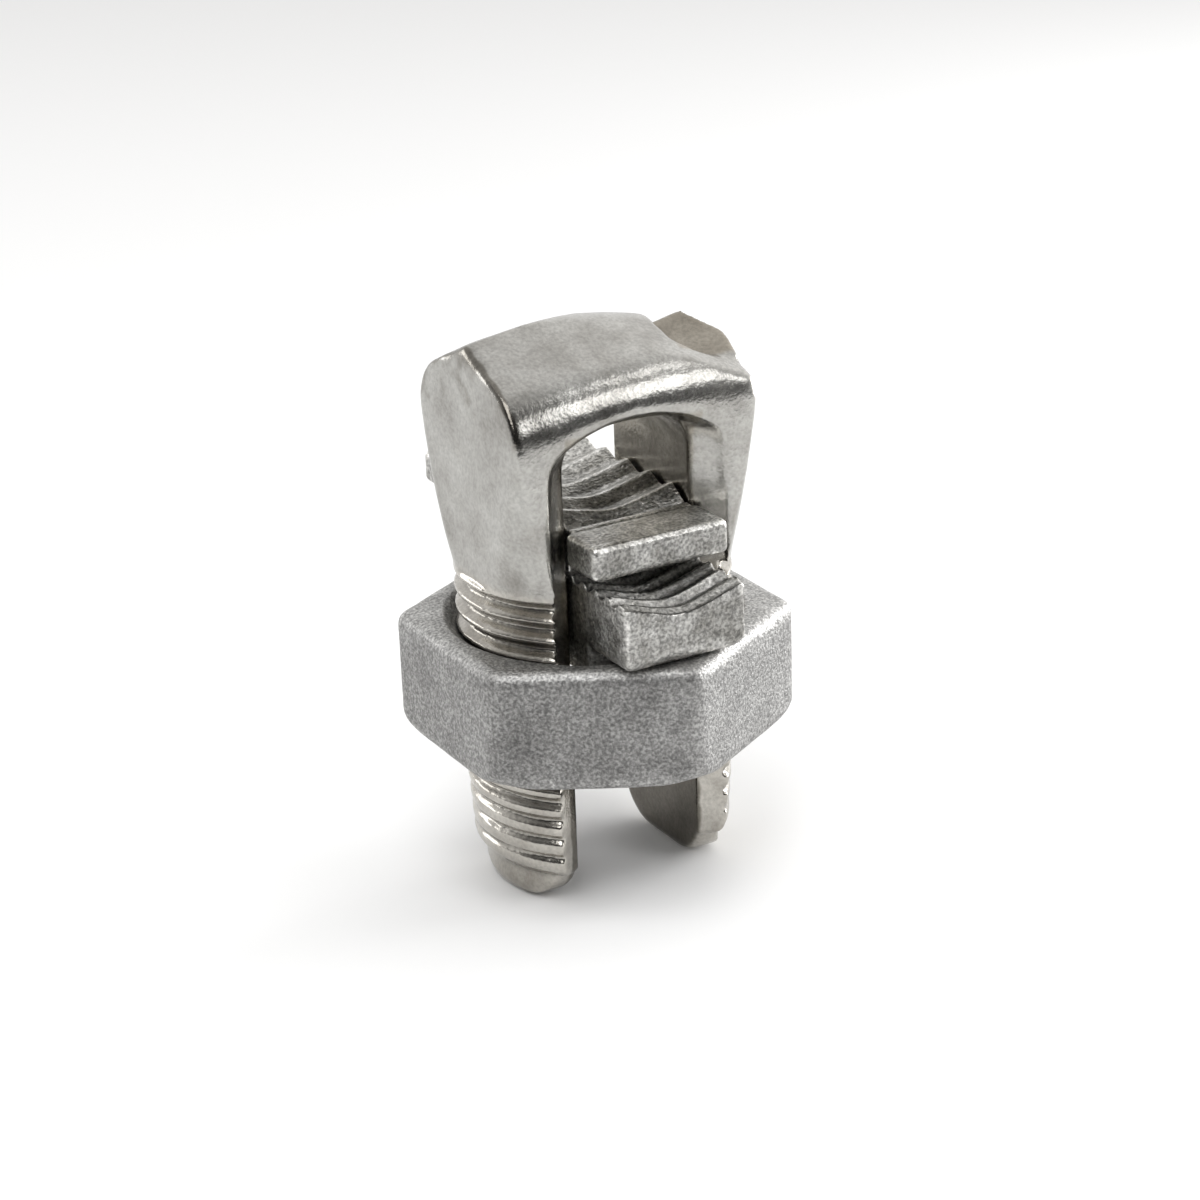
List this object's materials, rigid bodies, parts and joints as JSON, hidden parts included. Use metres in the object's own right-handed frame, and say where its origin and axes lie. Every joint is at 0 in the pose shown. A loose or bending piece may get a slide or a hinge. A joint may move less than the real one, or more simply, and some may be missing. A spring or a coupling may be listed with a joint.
{
  "type": "split bolt connector",
  "caption": "Split bolt connector: forged bolt slotted like an upside-down U, ribbed spacer and pressure bar between its legs, hexagon nut below, tin-plated.",
  "frame": {"origin": "middle of the flat seat under the crown, where the run conductor bears", "axes": "+Z along the bolt's axis towards the crown, X from leg to leg, +Y along the conductors towards the side the spacer stands out"},
  "size_m": [0.027, 0.0324, 0.0451],
  "materials": {
    "tinned_bolt": "tin plated, satin, forged skin",
    "tinned_saddle": "tin plated, satin",
    "tinned_nut": "tin plated, matte, cast skin"
  },
  "bodies": {
    "bolt_body": {"split_bolt": "tinned_bolt"},
    "bar_body": {"pressure_bar": "tinned_saddle"},
    "spacer_body": {"spacer": "tinned_saddle"},
    "nut_body": {"hex_nut": "tinned_nut"}
  },
  "joints": [
    {"name": "bar_slide", "type": "slide", "parent": "bolt_body", "child": "bar_body", "axis": [0, 0, 1], "range_m": [-0.006, 0.002]},
    {"name": "nut_spin", "type": "hinge", "parent": "bar_body", "child": "nut_body", "pos_m": [0, 0, -0.0215], "axis": [0, 0, 1], "range_deg": [-1361, 454]},
    {"name": "spacer_slide", "type": "slide", "parent": "bar_body", "child": "spacer_body", "axis": [0, 0, 1], "range_m": [0, 0.002]}
  ],
  "couplings": [
    {"joint": "nut_spin", "follows": "bar_slide", "rad_per_m": 3957.9}
  ]
}
